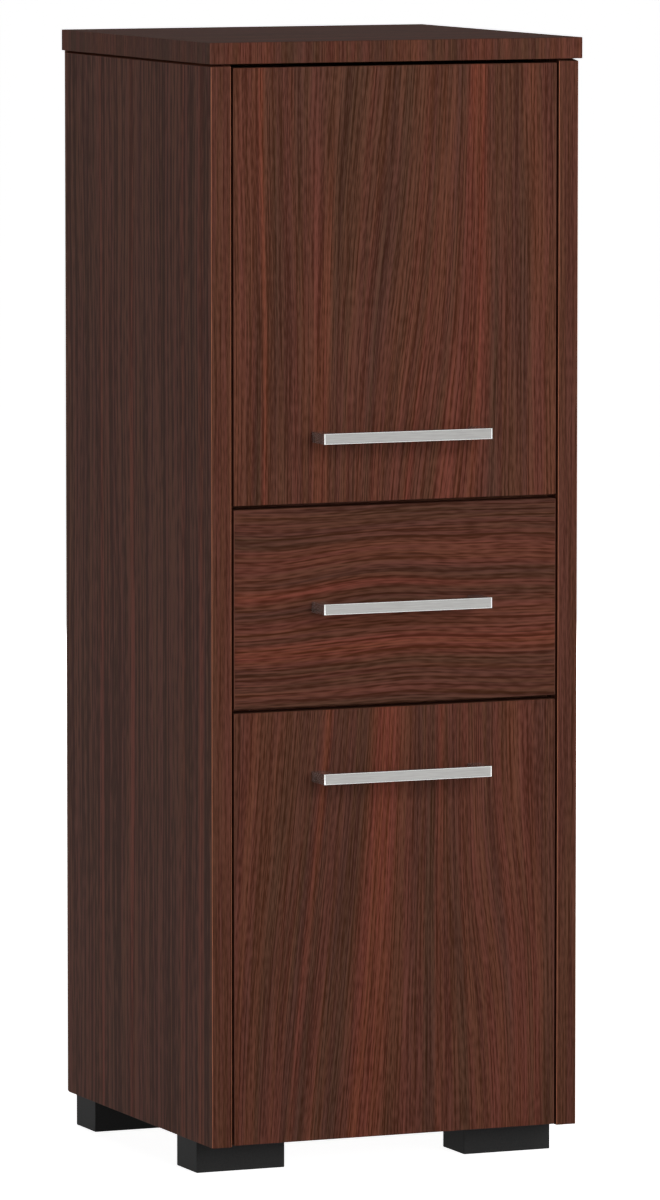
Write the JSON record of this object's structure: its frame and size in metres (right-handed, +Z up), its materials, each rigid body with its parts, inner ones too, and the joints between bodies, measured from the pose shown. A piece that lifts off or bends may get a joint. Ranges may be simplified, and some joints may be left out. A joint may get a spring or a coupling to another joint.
{
  "type": "bathroom cabinet",
  "caption": "Tall narrow free-standing bathroom cabinet: hinged doors above and below a drawer on roller runners, bar handles, block feet.",
  "frame": {"origin": "on the floor under the centre of the whole object's outline, handles included", "axes": "+X to the object's right side seen from the front, +Y to the rear, +Z up; the fronts face -Y"},
  "size_m": [0.304, 0.324, 0.855],
  "materials": {
    "front_board": "satin melamine foil, dark red-brown wenge grain",
    "carcass_board": "satin melamine foil, dark grey-brown wenge grain",
    "drawer_board": "satin melamine foil, dark brown",
    "hardboard": "thin hardboard, one face foiled",
    "handle_metal": "satin front with bright edges",
    "foot_plastic": "black moulded plastic",
    "zinc_screw": "bright zinc plate",
    "die_cast": "die-cast zinc",
    "hinge_steel": "nickel plate",
    "beech": "plain beech",
    "bumper_rubber": "clear soft pad",
    "runner_coat": "white epoxy coat",
    "roller_nylon": "white nylon"
  },
  "bodies": {
    "carcass": {"top_panel": "carcass_board", "left_side_panel": "carcass_board", "right_side_panel": "carcass_board", "bottom_panel": "carcass_board", "upper_divider": "carcass_board", "lower_divider": "carcass_board", "back_panel": "hardboard", "upper_shelf": "carcass_board", "lower_shelf": "carcass_board", "shelf_pins": "die_cast", "front_left_foot": "foot_plastic", "front_right_foot": "foot_plastic", "rear_left_foot": "foot_plastic", "rear_right_foot": "foot_plastic", "foot_screws": "zinc_screw", "cam_locks": "die_cast", "cam_bolts": "die_cast", "dowels": "beech", "back_panel_nails": "zinc_screw", "front_bumpers": "bumper_rubber", "upper_door_hinge_arms": "hinge_steel", "lower_door_hinge_arms": "hinge_steel", "hinge_plates": "hinge_steel", "hinge_pins": "hinge_steel", "hinge_screws": "zinc_screw", "left_cabinet_runner": "runner_coat", "right_cabinet_runner": "runner_coat", "cabinet_runner_screws": "zinc_screw"},
    "upper_door_links": {"upper_door_inner_links": "hinge_steel"},
    "upper_door": {"upper_door_panel": "front_board", "upper_door_handle": "handle_metal", "upper_door_handle_screws": "zinc_screw", "upper_door_hinge_cups": "hinge_steel", "upper_door_cup_screws": "zinc_screw"},
    "upper_door_levers": {"upper_door_outer_links": "hinge_steel"},
    "lower_door_links": {"lower_door_inner_links": "hinge_steel"},
    "lower_door": {"lower_door_panel": "front_board", "lower_door_handle": "handle_metal", "lower_door_handle_screws": "zinc_screw", "lower_door_hinge_cups": "hinge_steel", "lower_door_cup_screws": "zinc_screw"},
    "lower_door_levers": {"lower_door_outer_links": "hinge_steel"},
    "drawer": {"drawer_front": "front_board", "drawer_left_side": "drawer_board", "drawer_right_side": "drawer_board", "drawer_back": "drawer_board", "drawer_bottom": "hardboard", "drawer_handle": "handle_metal", "drawer_handle_screws": "zinc_screw", "drawer_cam_locks": "die_cast", "drawer_cam_bolts": "die_cast", "drawer_screws": "zinc_screw", "left_drawer_runner": "runner_coat", "right_drawer_runner": "runner_coat"},
    "left_cabinet_roller": {"left_cabinet_roller": "roller_nylon"},
    "right_cabinet_roller": {"right_cabinet_roller": "roller_nylon"},
    "left_drawer_roller": {"left_drawer_roller": "roller_nylon"},
    "right_drawer_roller": {"right_drawer_roller": "roller_nylon"}
  },
  "joints": [
    {"name": "upper_link_turn", "type": "hinge", "parent": "carcass", "child": "upper_door_links", "pos_m": [0.1024, -0.112, 0.6725], "axis": [0, 0, 1], "range_deg": [-24.75, 0]},
    {"name": "upper_door_swing", "type": "hinge", "parent": "upper_door_links", "child": "upper_door", "pos_m": [0.1222, -0.1286, 0.6725], "axis": [0, 0, 1], "range_deg": [0, 119.7]},
    {"name": "upper_lever_turn", "type": "hinge", "parent": "carcass", "child": "upper_door_levers", "pos_m": [0.0981, -0.1299, 0.6725], "axis": [0, 0, 1], "range_deg": [-29.5, 0]},
    {"name": "lower_link_turn", "type": "hinge", "parent": "carcass", "child": "lower_door_links", "pos_m": [0.1024, -0.112, 0.1895], "axis": [0, 0, 1], "range_deg": [-24.75, 0]},
    {"name": "lower_door_swing", "type": "hinge", "parent": "lower_door_links", "child": "lower_door", "pos_m": [0.1222, -0.1286, 0.1895], "axis": [0, 0, 1], "range_deg": [0, 119.7]},
    {"name": "lower_lever_turn", "type": "hinge", "parent": "carcass", "child": "lower_door_levers", "pos_m": [0.0981, -0.1299, 0.1895], "axis": [0, 0, 1], "range_deg": [-29.5, 0]},
    {"name": "drawer_slide", "type": "slide", "parent": "carcass", "child": "drawer", "axis": [0, -1, 0], "range_m": [0, 0.19]},
    {"name": "left_cabinet_roller_turn", "type": "hinge", "parent": "carcass", "child": "left_cabinet_roller", "pos_m": [-0.1289, -0.108, 0.3861], "axis": [1, 0, 0], "range_deg": [0, 1210]},
    {"name": "left_drawer_roller_turn", "type": "hinge", "parent": "drawer", "child": "left_drawer_roller", "pos_m": [-0.1273, 0.116, 0.3843], "axis": [1, 0, 0], "range_deg": [0, 1210]},
    {"name": "right_cabinet_roller_turn", "type": "hinge", "parent": "carcass", "child": "right_cabinet_roller", "pos_m": [0.1289, -0.108, 0.3861], "axis": [1, 0, 0], "range_deg": [0, 1210]},
    {"name": "right_drawer_roller_turn", "type": "hinge", "parent": "drawer", "child": "right_drawer_roller", "pos_m": [0.1273, 0.116, 0.3843], "axis": [1, 0, 0], "range_deg": [0, 1210]}
  ],
  "couplings": [
    {"joint": "upper_link_turn", "follows": "upper_door_swing", "ratio": -0.20635},
    {"joint": "upper_lever_turn", "follows": "upper_door_swing", "ratio": -0.24603},
    {"joint": "lower_link_turn", "follows": "lower_door_swing", "ratio": -0.20635},
    {"joint": "lower_lever_turn", "follows": "lower_door_swing", "ratio": -0.24603},
    {"joint": "left_cabinet_roller_turn", "follows": "drawer_slide", "rad_per_m": 111.11},
    {"joint": "left_drawer_roller_turn", "follows": "drawer_slide", "rad_per_m": 111.11},
    {"joint": "right_cabinet_roller_turn", "follows": "drawer_slide", "rad_per_m": 111.11},
    {"joint": "right_drawer_roller_turn", "follows": "drawer_slide", "rad_per_m": 111.11}
  ]
}
